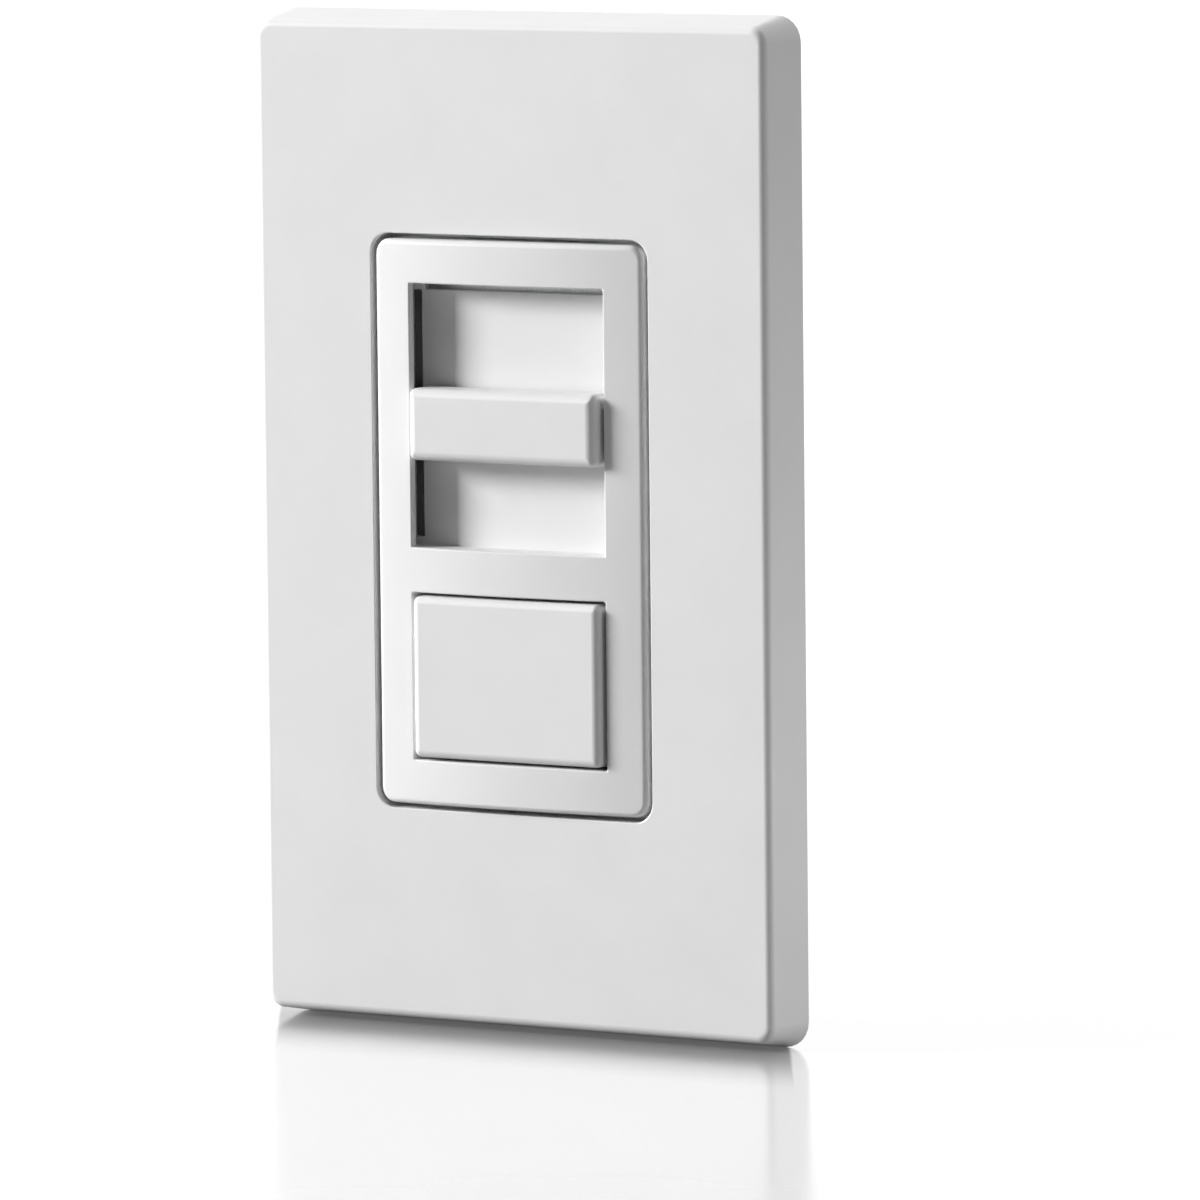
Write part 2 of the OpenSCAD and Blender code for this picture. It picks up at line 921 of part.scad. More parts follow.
// Cup of the housing: two stacked boxes with one hollow inside each
module housing_shell() {
    inner_w = case_w - 2 * case_wall;
    inner_h = case_h - 2 * case_wall;
    difference() {
        union() {
            layer(0, step_y)
                round_rect(case_w, case_h, 2);
            layer(step_y - cut, case_d)
                round_rect(block_w, block_h, 2);
        }
        layer(-cut, step_y - case_wall)
            round_rect(inner_w, inner_h, 1);
        layer(0, case_d - case_wall)
            round_rect(block_w - 2 * case_wall, block_h - 2 * case_wall, 1);
        layer(case_d - 0.4, case_d + cut)
            round_rect(block_w - 6, block_h - 12, 1.5);
    }
}

module back_housing() {
    rib_back = step_y - case_wall + play;
    color("#2b2d31")
        difference() {
            union() {
                housing_shell();
                for (x = [-1, 1], z = [-1, 1])
                    translate([x * boss_x, 0, z * boss_z])
                        round_y(boss_r, 0, step_y - play);
                for (place = concat(terminals, [[-1, ground_z]]))
                    terminal_pocket_wall(place[0], place[1]);
                for (side = [-1, 1]) {
                    mirror([side < 0 ? 1 : 0, 0, 0])
                        block([14, case_w / 2 - case_wall + play], [board_back, rib_back], [-12, -10]);
                    mirror([0, 0, side < 0 ? 1 : 0])
                        block([-2, 2], [board_back, rib_back], [26.1, case_h / 2 - case_wall + play]);
                }
            }
            for (x = [-1, 1], z = [-1, 1])
                translate([x * boss_x, 0, z * boss_z])
                    round_y(small_screw_r + 0.1, -cut, step_y + cut);
            for (place = concat(terminals, [[-1, ground_z]]))
                terminal_pocket(place[0], place[1]);
            for (place = terminals)
                mirror([place[0] < 0 ? 1 : 0, 0, 0])
                    block(
                        [tail_x, pocket_floor + cut],
                        [6.5, 7.7],
                        [place[1] + tail_z - 0.7, place[1] + tail_z + 0.7]
                    );
        }
}

module housing_screws() {
    head_r = 2.7;
    color("silver")
        for (x = [-1, 1], z = [-1, 1])
            translate([x * boss_x, 0, z * boss_z]) {
                round_y(small_screw_r, strap_front + 0.1, step_y);
                difference() {
                    round_y(head_r, step_y, step_y + 1.9);
                    block([-head_r, head_r], [step_y + 1, step_y + 1.9 + cut], [-0.4, 0.4]);
                }
            }
}

module terminal_plates() {
    plate_back = pocket_floor + 1;
    color("gold")
        for (place = terminals)
            mirror([place[0] < 0 ? 1 : 0, 0, 0])
                translate([0, 0, place[1]]) {
                    difference() {
                        block([pocket_floor, plate_back], [1, 9.4], [-4.6, 4.6]);
                        translate([0, terminal_y, 0])
                            round_x(screw_r + hole_play, [pocket_floor - cut, plate_back + cut]);
                    }
                    block([tail_x - 0.5, pocket_floor + play], [6.6, 7.6], [tail_z - 0.6, tail_z + 0.6]);
                    block([tail_x - 0.5, tail_x + 0.5], [6.6, pin_end], [tail_z - 0.6, tail_z + 0.6]);
                }
}

// Terminal screw along X: its head is outside the seat
module side_screw(tip, seat) {
    driver_w = 1;
    round_x(screw_r, [tip, seat]);
    difference() {
        round_x(screw_head_r, [seat, seat + screw_head_t]);
        block([seat + screw_head_t / 2, seat + screw_head_t + cut], [-driver_w / 2, driver_w / 2],
            [-screw_head_r, screw_head_r]);
    }
}

module terminal_screws() {
    color("gold")
        for (place = terminals)
            mirror([place[0] < 0 ? 1 : 0, 0, 0])
                translate([0, terminal_y, place[1]])
                    side_screw(12.8, pocket_floor + 2.2);
}

module ground_screw() {
    color("green")
        mirror([1, 0, 0])
            translate([0, terminal_y, ground_z])
                side_screw(pocket_floor + 0.4, strap_w / 2);
}

wall_plate();
plate_adapter();
adapter_screws();
mounting_strap();
box_screws();
face_frame();
recess_plate();
slider_knob();
slider_carriage();
pot_lever();
pot_wiper();
pot_housing();
pot_track();
pot_terminals();
button_cap();
button_plunger();
button_spring();
switch_housing();
switch_lever();
lever_pin();
contact_bridge();
fixed_contacts();
circuit_board();
triac();
triac_insulator();
triac_rivet();
choke_core();
choke_winding();
film_capacitor();
timing_capacitors();
resistors();
diac();
back_housing();
housing_screws();
terminal_plates();
terminal_screws();
ground_screw();
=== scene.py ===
"""Looks of the slide dimmer: detailed meshes, materials, floor, lights and camera round the CAD frame.

Shapes are modelled in millimetres, in the CAD's own axes: +X right, -Y towards the room, +Z up.
"""
import json
import math

import bmesh
import bpy
from mathutils import Matrix, Vector

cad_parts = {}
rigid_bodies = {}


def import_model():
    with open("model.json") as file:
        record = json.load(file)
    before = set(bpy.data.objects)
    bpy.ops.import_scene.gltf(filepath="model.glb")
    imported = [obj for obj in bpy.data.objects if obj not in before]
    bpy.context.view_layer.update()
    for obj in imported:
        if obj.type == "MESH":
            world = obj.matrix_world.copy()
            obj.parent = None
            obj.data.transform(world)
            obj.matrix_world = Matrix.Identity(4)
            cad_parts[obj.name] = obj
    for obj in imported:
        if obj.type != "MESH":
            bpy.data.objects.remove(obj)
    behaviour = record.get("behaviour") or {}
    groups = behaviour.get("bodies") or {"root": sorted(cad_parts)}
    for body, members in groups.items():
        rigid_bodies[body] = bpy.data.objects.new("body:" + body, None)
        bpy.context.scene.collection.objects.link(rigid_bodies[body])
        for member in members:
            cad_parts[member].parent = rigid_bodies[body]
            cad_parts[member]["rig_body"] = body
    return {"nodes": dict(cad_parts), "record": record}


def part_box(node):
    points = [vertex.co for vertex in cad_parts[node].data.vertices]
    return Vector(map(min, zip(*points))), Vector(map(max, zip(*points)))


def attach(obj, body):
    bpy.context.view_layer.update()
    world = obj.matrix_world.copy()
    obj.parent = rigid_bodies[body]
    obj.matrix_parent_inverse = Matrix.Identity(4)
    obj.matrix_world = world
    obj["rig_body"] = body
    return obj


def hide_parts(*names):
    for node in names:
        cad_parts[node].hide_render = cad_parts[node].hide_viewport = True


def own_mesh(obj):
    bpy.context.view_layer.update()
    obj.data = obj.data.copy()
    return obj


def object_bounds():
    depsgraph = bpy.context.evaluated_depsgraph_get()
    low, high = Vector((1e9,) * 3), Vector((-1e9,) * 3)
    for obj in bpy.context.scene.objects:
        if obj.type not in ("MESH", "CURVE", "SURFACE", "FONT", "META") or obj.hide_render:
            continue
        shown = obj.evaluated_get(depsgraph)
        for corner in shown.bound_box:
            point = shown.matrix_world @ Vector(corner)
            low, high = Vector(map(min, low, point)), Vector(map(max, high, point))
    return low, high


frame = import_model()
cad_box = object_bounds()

MM = 0.001
SHARP = 0.02            # smallest corner radius, so that no face has zero width
ARC_STEPS = 6           # faces round each corner of an outline
EDGE_STEPS = 6          # faces across each rounded edge
ROUND_STEPS = 48        # faces round a turned piece
BOW_STRIPS = 48         # flat strips across a bowed face
CREASE = math.radians(35)
SAME_PLACE = 1e-4       # vertices closer than this many millimetres are joined
CUT_TOLERANCE = 1e-5
OVERLAP = 0.3           # how far a joined solid reaches into the one that it joins
SIDES = (-1, 1)
CORNERS = ((-1, -1), (1, -1), (1, 1), (-1, 1))
SCREW_R = 1.75          # 6-32 thread
SCREW_PITCH = 0.794
SCREW_HOLE_R = 1.8
THREAD_H = 0.3
THREAD_SLOPE = 1.4      # how much steeper a thread's flanks are than a plain zigzag


def span(node):
    """Lowest and highest corner of a CAD node at rest, in millimetres."""
    low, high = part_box(node)
    return low / MM, high / MM


# ---- Outlines: lists of (x, z, corner radius), anticlockwise seen from the room ----

def rectangle(centre, size, radius=SHARP):
    (x, z), (w, h) = centre, size
    return [(x + sx * w / 2, z + sz * h / 2, radius) for sx, sz in CORNERS]


def disc(centre, radius):
    return rectangle(centre, (2 * radius, 2 * radius), radius)


def between(low_x, high_x, low_z, high_z, radius=SHARP):
    return rectangle(((low_x + high_x) / 2, (low_z + high_z) / 2), (high_x - low_x, high_z - low_z), radius)


def around(middle, width):
    """Range of the given width about a middle."""
    return middle - width / 2, middle + width / 2


def on_side(side, near, far):
    """Range from near to far from the middle of the object, on the side that the sign tells."""
    return sorted((side * near, side * far))


def inset_ring(outline, inset):
    """Points round an outline whose sides have moved inwards by inset, with an arc at each corner."""
    points = []
    for index, (x, z, radius) in enumerate(outline):
        here = Vector((x, z))
        into = (here - Vector(outline[index - 1][:2])).normalized()
        out = (Vector(outline[(index + 1) % len(outline)][:2]) - here).normalized()
        left_in, left_out = Vector((-into.y, into.x)), Vector((-out.y, out.x))
        turn = math.atan2(into.cross(out), into.dot(out))
        bend = max(radius - math.copysign(inset, turn), SHARP)
        corner = here + (left_in + left_out) * inset / (1 + left_in.dot(left_out))
        start = corner - into * bend * math.tan(abs(turn) / 2)
        centre = start + left_in * math.copysign(bend, turn)
        for step in range(ARC_STEPS + 1):
            points.append(centre + Matrix.Rotation(turn * step / ARC_STEPS, 2) @ (start - centre))
    return points


# ---- Solids ----

def new_shape(bm):
    """A mesh object, in millimetres until publish() scales it."""
    bmesh.ops.recalc_face_normals(bm, faces=bm.faces)
    mesh = bpy.data.meshes.new("shape")
    bm.to_mesh(mesh)
    bm.free()
    shape = bpy.data.objects.new("shape", mesh)
    bpy.context.scene.collection.objects.link(shape)
    return shape


def add_ring(bm, points):
    return [bm.verts.new(point) for point in points]


def bridge(bm, rings):
    """Quads between each ring of vertices and the next."""
    for one, two in zip(rings, rings[1:]):
        for index in range(len(one)):
            after = (index + 1) % len(one)
            bm.faces.new((one[index], one[after], two[after], two[index]))


def fill(bm, rings):
    """Flat cap inside the first ring and outside the others."""
    edges = []
    for ring in rings:
        edges += [bm.edges.get((ring[index - 1], ring[index])) for index in range(len(ring))]
    bmesh.ops.triangle_fill(bm, use_beauty=True, use_dissolve=False, edges=edges)


def edge_profile(front, back, front_edge, back_edge, draft=0):
    """(inset, depth) pairs from the front face to the back face, round both edges.

    The front is draft smaller than the back on each side.
    """
    quarter = [math.pi / 2 * step / EDGE_STEPS for step in range(EDGE_STEPS + 1)]
    pairs = [
        (draft + front_edge * (1 - math.sin(a)), front + front_edge * (1 - math.cos(a)))
        for a in quarter
    ]
    pairs += [(back_edge * (1 - math.cos(a)), back - back_edge * (1 - math.sin(a))) for a in quarter]
    return pairs


def slab(outline, front, back, edge=0.15, back_edge=None, holes=(), hole_edge=None, draft=0):
    """Plate between two depths with rounded edges. Holes go right through it."""
    back_edge = edge if back_edge is None else back_edge
    hole_edge = edge if hole_edge is None else hole_edge
    bm = bmesh.new()
    fronts, backs = [], []
    outer = edge_profile(front, back, edge, back_edge, draft)
    inner = edge_profile(front, back, hole_edge, hole_edge)
    for loop, side, pairs in [(outline, 1, outer)] + [(hole, -1, inner) for hole in holes]:
        rings = []
        for inset, depth in pairs:
            ring = inset_ring(loop, side * inset)
            rings.append(add_ring(bm, [(x, depth, z) for x, z in ring]))
        bridge(bm, rings)
        fronts.append(rings[0])
        backs.append(rings[-1])
    fill(bm, fronts)
    fill(bm, backs)
    return new_shape(bm)


def block(x, y, z, edge=SHARP):
    """Box given by its ranges along X, Y and Z."""
    return slab(between(*x, *z, radius=edge), *y, edge=edge)


def turned(profile, centre=(0, 0), thread=None):
    """Solid of revolution along Y through (x, z). profile holds (radius, depth) pairs.

    thread is (first depth, last depth): between them, a screw thread is cut into the radius.
    """
    bm = bmesh.new()
    rings = []
    for radius, depth in profile:
        ring = []
        for step in range(ROUND_STEPS):
            turn = step / ROUND_STEPS
            r = radius
            if thread and thread[0] <= depth <= thread[1]:
                phase = (depth / SCREW_PITCH - turn) % 1
                r -= THREAD_H * min(1, abs(2 * phase - 1) * THREAD_SLOPE)
            angle = 2 * math.pi * turn
            ring.append((centre[0] + r * math.cos(angle), depth, centre[1] + r * math.sin(angle)))
        rings.append(add_ring(bm, ring))
    bridge(bm, rings)
    bm.faces.new(rings[0])
    bm.faces.new(rings[-1])
    return new_shape(bm)


def combine(shape, operation, *others):
    """Joins the others to the shape, or cuts them out of it, and removes them."""
    for other in others:
        modifier = shape.modifiers.new("combine", "BOOLEAN")
        modifier.operation = operation
        modifier.solver = "EXACT"
        modifier.object = other
    bpy.context.view_layer.update()
    evaluated = shape.evaluated_get(bpy.context.evaluated_depsgraph_get())
    mesh = bpy.data.meshes.new_from_object(evaluated)
    shape.modifiers.clear()
    shape.data = mesh
    for other in others:
        bpy.data.objects.remove(other)
    return shape


def union(shape, *others):
    return combine(shape, "UNION", *others)


def cut(shape, *others):
    return combine(shape, "DIFFERENCE", *others)


def group(*shapes):
    """Separate solids as one piece."""
    bm = bmesh.new()
    for shape in shapes:
        bm.from_mesh(shape.data)
        bpy.data.objects.remove(shape)
    return new_shape(bm)


def moved(shape, matrix):
    shape.data.transform(matrix)
    if matrix.is_negative:
        shape.data.flip_normals()
    return shape


def at_corners(make):
    """make(x_sign, z_sign) for each of the four corners."""
    return [make(sx, sz) for sx, sz in CORNERS]


def bow(shape, width, height, front, back):
    """Bends the front of a shape into a cylinder about Z that stands out by height at the middle."""
    bm = bmesh.new()
    bm.from_mesh(shape.data)
    for step in range(1, BOW_STRIPS):
        x = width * (step / BOW_STRIPS - 0.5)
        geometry = bm.verts[:] + bm.edges[:] + bm.faces[:]
        bmesh.ops.bisect_plane(
            bm, geom=geometry, plane_co=(x, 0, 0), plane_no=(1, 0, 0), dist=CUT_TOLERANCE,
        )
    radius = (width ** 2 / 4 + height ** 2) / (2 * height)
    for vert in bm.verts:
        share = min(1, max(0, (back - vert.co.y) / (back - front)))
        rise = math.sqrt(radius ** 2 - vert.co.x ** 2) - (radius - height)
        vert.co.y -= share * rise
    bm.to_mesh(shape.data)
    bm.free()
    return shape


def publish(shape, name, material):
    """Turns a finished shape into a piece that stands for the CAD node of that name."""
    bm = bmesh.new()
    bm.from_mesh(shape.data)
    bmesh.ops.remove_doubles(bm, verts=bm.verts, dist=SAME_PLACE)
    bmesh.ops.dissolve_degenerate(bm, edges=bm.edges, dist=SAME_PLACE)
    bm.to_mesh(shape.data)
    bm.free()
    mesh = shape.data
    mesh.transform(Matrix.Scale(MM, 4))
    mesh.shade_smooth()
    mesh.set_sharp_from_angle(angle=CREASE)
    weighted = shape.modifiers.new("flat faces stay flat", "WEIGHTED_NORMAL")
    weighted.keep_sharp = True
    shape.name = mesh.name = name + "_detail"
    mesh.materials.clear()
    mesh.materials.append(material)
    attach(shape, frame["nodes"][name]["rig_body"])
    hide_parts(name)
    return shape


# ---- Sizes in common ----

FACE_Y = span("wall_plate")[0].y            # front of the wall plate
PLATE_CORNER = 3
INSERT_LOW, INSERT_HIGH = span("face_frame")
INSERT_EDGE = FACE_Y - 0.1                  # front of the insert at its side edges
CROWN = INSERT_EDGE - INSERT_LOW.y
SKIN_BACK = INSERT_EDGE + 1.6
STRAP_FRONT = span("adapter_screws")[0].y + 1.6
FLOOR_LOW, FLOOR_HIGH = span("recess_plate")
OPENING_GAP = 0.6
OPENING = between(
    INSERT_LOW.x - OPENING_GAP, INSERT_HIGH.x + OPENING_GAP,
    INSERT_LOW.z - OPENING_GAP, INSERT_HIGH.z + OPENING_GAP, 2.4,
)
RECESS = rectangle((0, 12.2), (25.7, 30), 0.3)
WINDOW = rectangle((0, -17.5), (25.7, 19.1), 0.3)
LEG_X = (13.45, 14.45)      # sides of the knob's legs
LEG_H = 6.4
BOX_SCREW_Z = 41.65
PLATE_SCREW_Z = 48.4
CASE_STEP = 20              # depth at which the housing narrows
CASE_SCREWS = [(sx * 15.5, sz * 29.6) for sx in SIDES for sz in SIDES]
SNAP_LEGS = (10, 29.65)
POCKET_X = 16.8             # distance from the middle to the floor of a terminal's pocket
TERMINAL_Y = 5.2
TERMINALS = ((1, 16), (1, 1), (-1, 16))     # side and height
GROUND_Z = -20


def wider(outline, extra):
    """The same outline with its sides moved outwards, or inwards if extra is below 0."""
    middle_x = (outline[0][0] + outline[2][0]) / 2
    middle_z = (outline[0][1] + outline[2][1]) / 2
    return [
        (
            x + extra * math.copysign(1, x - middle_x), z + extra * math.copysign(1, z - middle_z),
            max(radius + extra, SHARP),
        )
        for x, z, radius in outline
    ]


# ---- Wall plate ----

def wall_plate():
    low, high = span("wall_plate")
    wall, collar_wall, rib_w = 2, 1.5, 6
    inner = FACE_Y + wall
    collar_back = STRAP_FRONT - 2
    collar = wider(OPENING, collar_wall)
    outline = between(low.x, high.x, low.z, high.z, PLATE_CORNER)
    plate = slab(outline, low.y, high.y, 1, 0.25, [OPENING], 0.14, draft=1)
    inside = between(low.x + wall, high.x - wall, low.z + wall, high.z - wall, 1)
    hollow = slab(inside, inner, 1, 0.3, 0.3, [collar])
    trim = slab(wider(collar, 0.4), collar_back, 2, 0.1)
    plate = cut(plate, hollow, trim)
    rib_y = (inner - OVERLAP, -0.6)
    side_rib_x, side_rib_z = 31.05, 28.95
    end_rib_x, end_rib_z = 17.46, 54.05
    ribs = [
        block(on_side(sx, side_rib_x, high.x - wall + OVERLAP), rib_y, around(sz * side_rib_z, rib_w), 0.2)
        for sx in SIDES for sz in SIDES
    ]
    ribs += [
        block(around(sx * end_rib_x, rib_w), rib_y, on_side(sz, end_rib_z, high.z - wall + OVERLAP), 0.2)
        for sx in SIDES for sz in SIDES
    ]
    return union(plate, *ribs)


def plate_adapter():
    low, high = span("plate_adapter")
    rim, box_screw_hole_r = 1.2, 3.8
    floor_front = high.y - 1.6
    outline = between(low.x, high.x, low.z, high.z, 3)
    window = rectangle((0, 0), (42.6, 71.6), 2)
    screw_places = [(0, side * PLATE_SCREW_Z) for side in SIDES]
    screw_holes = [disc(place, SCREW_HOLE_R) for place in screw_places]
    box_holes = [disc((0, side * BOX_SCREW_Z), box_screw_hole_r) for side in SIDES]
    adapter = slab(outline, low.y, high.y, 0.3, 0.2, [window, *screw_holes, *box_holes], 0.2)
    pocket = slab(wider(outline, -rim), low.y - 1, floor_front, 0.2, 0.2)
    countersink = [(2.95, floor_front - 0.05), (2.95, floor_front), (SCREW_R, high.y - 0.4)]
    return cut(adapter, pocket, *[turned(countersink, place) for place in screw_places])


# ---- Insert, slider and button ----

def snap_leg(sx, sz):
    """A leg of the insert, with a rib that stops on the strap and a hook that reaches behind it."""
    x, z = sx * SNAP_LEGS[0], sz * SNAP_LEGS[1]
    near, far = 0.4, 1.2        # from the leg's middle to the near and far sides of the rib and hook
    leg_x = around(x, 4)
    root = SKIN_BACK - OVERLAP
    leg = block(leg_x, (root, 1), around(z, 1), 0.12)
    rib = block(leg_x, (root, STRAP_FRONT - 0.1), sorted((z + sz * near, z + sz * far)), 0.1)
    hook = block(leg_x, (0.05, 1), sorted((z - sz * far, z - sz * near)), 0.15)
    return union(leg, rib, hook)


def face_frame():
    wall = 1.6
    back = STRAP_FRONT
    outline = between(INSERT_LOW.x, INSERT_HIGH.x, INSERT_LOW.z, INSERT_HIGH.z, 1.8)
    insert = slab(outline, INSERT_EDGE, back, 0.6, 0.15, [RECESS, WINDOW], 0.2)
    bow(insert, INSERT_HIGH.x - INSERT_LOW.x, CROWN, INSERT_EDGE, SKIN_BACK)
    pocket = between(FLOOR_LOW.x, FLOOR_HIGH.x, FLOOR_LOW.z, FLOOR_HIGH.z)
    guide = wider(WINDOW, 1.3)
    hollow = slab(wider(outline, -wall), SKIN_BACK, 1, SHARP, holes=[pocket, guide])
    channel_x = LEG_X[1] + 0.5
    channels = between(-channel_x, channel_x, RECESS[0][1] + 0.02, RECESS[2][1] - 0.02)
    behind_pocket = slab(wider(pocket, 0.15), FLOOR_LOW.y, 1)
    behind_guide = slab(wider(guide, 0.2), SKIN_BACK + 1.9, 2)
    insert = cut(insert, hollow, behind_pocket, behind_guide, slab(channels, INSERT_EDGE + 0.3, 3))
    return union(insert, *at_corners(snap_leg))


def recess_plate():
    """Floor of the recess, with a slot for each of the knob's legs and a slit under its upper edge."""
    play = 0.25
    slot_z = (-1.9, 26.3)
    slit = (0.85, 0.05)         # distances of the slit's sides below the recess's upper edge
    slots = [between(*on_side(side, LEG_X[0] - play, LEG_X[1] + play), *slot_z, 0.3) for side in SIDES]
    top = RECESS[2][1]
    slots.append(between(RECESS[0][0] + 0.1, RECESS[2][0] - 0.1, top - slit[0], top - slit[1], 0.2))
    outline = between(FLOOR_LOW.x, FLOOR_HIGH.x, FLOOR_LOW.z, FLOOR_HIGH.z, 0.3)
    return slab(outline, FLOOR_LOW.y, FLOOR_HIGH.y, 0.1, 0.15, slots, 0.15)


def slider_knob():
    low, high = span("slider_knob")
    gap, wing_front, leg_t = 0.4, 0.6, 1
    half = RECESS[2][0] - gap
    back = FLOOR_LOW.y - gap
    leg_z = around((low.z + high.z) / 2, LEG_H)
    knob = slab(between(-half, half, low.z, high.z, 0.8), low.y, back, 1.1, 0.2)
    wings = [
        block(on_side(side, half - 0.6, high.x), (INSERT_EDGE + wing_front, back), leg_z, 0.15)
        for side in SIDES
    ]
    legs = [
        block(on_side(side, high.x - leg_t, high.x), (back - 0.5, high.y), leg_z, 0.15)
        for side in SIDES
    ]
    return union(knob, *wings, *legs)


def slider_carriage():
    low, high = span("slider_carriage")
    play = 0.05
    middle = (low.z + high.z) / 2
    outline = between(low.x, high.x, low.z, high.z, 0.8)
    lever = rectangle((0, middle), (2.1, 4.1), 0.2)
    leg_z = around(middle, LEG_H + 2 * play)
    legs = [between(*on_side(side, LEG_X[0] - play, LEG_X[1] + play), *leg_z, 0.15) for side in SIDES]
    return slab(outline, low.y, high.y, 0.2, 0.2, [lever, *legs], 0.1)


def button_cap():
    low, high = span("button_cap")
    skin, skirt = 1.6, 1.2
    outline = between(low.x, high.x, low.z, high.z, 0.8)
    cap = slab(outline, low.y, high.y, 0.9, 0.15)
    return cut(cap, slab(wider(outline, -skirt), low.y + skin, high.y + 1, 0.3, SHARP))


def button_plunger():
    low, high = span("button_plunger")
    middle = (0, (low.z + high.z) / 2)
    stem_r, flange_r, nose_r, bevel = 2.8, 3.9, 0.6, 0.2
    flange_front, flange_back = 0.1, 0.8
    stem = [(stem_r - bevel, low.y), (stem_r, low.y + bevel), (stem_r, flange_front)]
    flange = [
        (flange_r - bevel, flange_front), (flange_r, flange_front + 0.15),
        (flange_r, flange_back - 0.15), (flange_r - bevel, flange_back),
    ]
    nose = [(nose_r, flange_back), (nose_r, high.y - 0.4), (0.45, high.y - 0.1), (bevel, high.y)]
    return turned(stem + flange + nose, middle)


def coil(centre, radius, wire, front, back, turns, sides=10, steps=36):
    """Round wire in a coil along Y, with flat ends."""
    along = Vector((0, 1, 0))
    angles = [2 * math.pi * side / sides for side in range(sides)]
    bm = bmesh.new()
    rings = []
    for step in range(turns * steps + 1):
        share = step / (turns * steps)
        angle = 2 * math.pi * turns * share
        out = Vector((math.cos(angle), 0, math.sin(angle)))
        middle = Vector((centre[0], front + (back - front) * share, centre[1])) + radius * out
        ring = [middle + wire * (math.cos(a) * out + math.sin(a) * along) for a in angles]
        rings.append(add_ring(bm, ring))
    bridge(bm, rings)
    bm.faces.new(rings[0])
    bm.faces.new(rings[-1])
    return new_shape(bm)


def button_spring():
    low, high = span("button_spring")
    wire = 0.25
    radius = (high.x - low.x) / 2 - wire
    return coil((0, (low.z + high.z) / 2), radius, wire, low.y + wire, high.y - wire, turns=4)


# ---- Strap and housing ----

def strap_outline():
    """The upper right quarter of the strap's outline, joined with its mirror images."""
    body_x, ear_x, tab_x = 21.5, 11, 21.5
    body_z, neck, tab, top = 34.6, (45.5, 50.5), (43.5, 52.5), 53.2
    tab_in = 11.7
    quarter = [
        (body_x, body_z, 1), (ear_x, body_z, 0.6), (ear_x, neck[0], 0.4), (tab_in, neck[0], 0.3),
        (tab_in, tab[0], 0.6), (tab_x, tab[0], 1.5), (tab_x, tab[1], 1.5), (tab_in, tab[1], 0.6),
        (tab_in, neck[1], 0.3), (ear_x, neck[1], 0.4), (ear_x, top, 2),
    ]
    left = [(-x, z, radius) for x, z, radius in reversed(quarter)]
    upper = quarter + left
    lower = [(x, -z, radius) for x, z, radius in reversed(upper)]
    return upper + lower


def mounting_strap():
    front, left = STRAP_FRONT, -21.5
    slots = [rectangle((0, side * BOX_SCREW_Z), (6.5, 4.2), 2.1 - SHARP) for side in SIDES]
    holes = [disc((0, side * PLATE_SCREW_Z), SCREW_HOLE_R) for side in SIDES]
    holes += [disc(place, 1.55) for place in CASE_SCREWS]
    holes += [
        rectangle((sx * SNAP_LEGS[0], sz * SNAP_LEGS[1]), (4.6, 1.5), 0.2)
        for sx in SIDES for sz in SIDES
    ]
    lever_slot = between(-1.8, 1.8, -0.7, 25.1, 0.5)
    plunger_hole = disc((0, -17.5), 3.2)
    rivet_hole = disc((12.4, -23.6), 1.65)
    holes += [lever_slot, plunger_hole, rivet_hole]
    strap = slab(strap_outline(), front, 0, 0.15, 0.1, slots + holes, 0.12)
    tab_outline = between(*around(GROUND_Z, 9), -9.6, 0.6, 0.8)
    tab_hole = disc((GROUND_Z, -TERMINAL_Y), SCREW_HOLE_R)
    tab = slab(tab_outline, 0, -front, 0.12, 0.12, [tab_hole])
    bent_back = Matrix(((0, 1, 0, left), (0, 0, -1, 0), (1, 0, 0, 0), (0, 0, 0, 1)))
    return union(strap, moved(tab, bent_back))


def pocket_walls(side, z):
    return block(on_side(side, POCKET_X - 1.6, 18.9), (0.2, 11.4), around(z, 12.8), 0.1)


def terminal_pocket(side, z):
    """Cutters for a terminal's pocket and for the hole that its screw goes into."""
    pocket = block(on_side(side, POCKET_X, 22), (-1, 10.2), around(z, 10.4), 0.25)
    screw_hole = along_x(turned([(1.85, 13.5), (1.85, 17.5)]), side, z)
    return [pocket, screw_hole]


def along_x(shape, side, z):
    """Turns a piece made about Y to lie along X at a terminal. Its depths become distances from the middle."""
    return moved(shape, Matrix(((0, side, 0, 0), (1, 0, 0, TERMINAL_Y), (0, 0, 1, z), (0, 0, 0, 1))))


def back_housing():
    low, high = span("back_housing")
    wall, boss_r, screw_hole_r = 1.8, 2.8, 1.6
    outline = between(low.x, high.x, low.z, high.z, 2)
    block_outline = rectangle((0, 0), (31, 52), 2)
    places = list(TERMINALS) + [(-1, GROUND_Z)]
    shell = slab(outline, 0, CASE_STEP, 0.15, 0.8)
    shell = union(shell, slab(block_outline, CASE_STEP - 1, high.y, 0.1, 0.9))
    hollow = slab(wider(outline, -wall), -1, CASE_STEP - wall, 0.1, 0.5)
    deep = slab(wider(block_outline, -wall), -2, high.y - wall, 0.1, 0.5)
    shell = cut(shell, hollow, deep)
    bosses = [turned([(boss_r, 0), (boss_r, CASE_STEP - 1)], place) for place in CASE_SCREWS]
    shell = union(shell, *bosses, *[pocket_walls(*place) for place in places])
    tools = [tool for place in places for tool in terminal_pocket(*place)]
    tools += [turned([(screw_hole_r, -1), (screw_hole_r, CASE_STEP + 1)], place) for place in CASE_SCREWS]
    tools += [
        block(on_side(side, 12.9, 17), (6.5, 7.7), (z + 3.3, z + 4.7), 0.1)
        for side, z in TERMINALS
    ]
    tools.append(slab(rectangle((0, 0), (25, 40), 1.5), high.y - 0.4, high.y + 1, 0.15))
    return cut(shell, *tools)


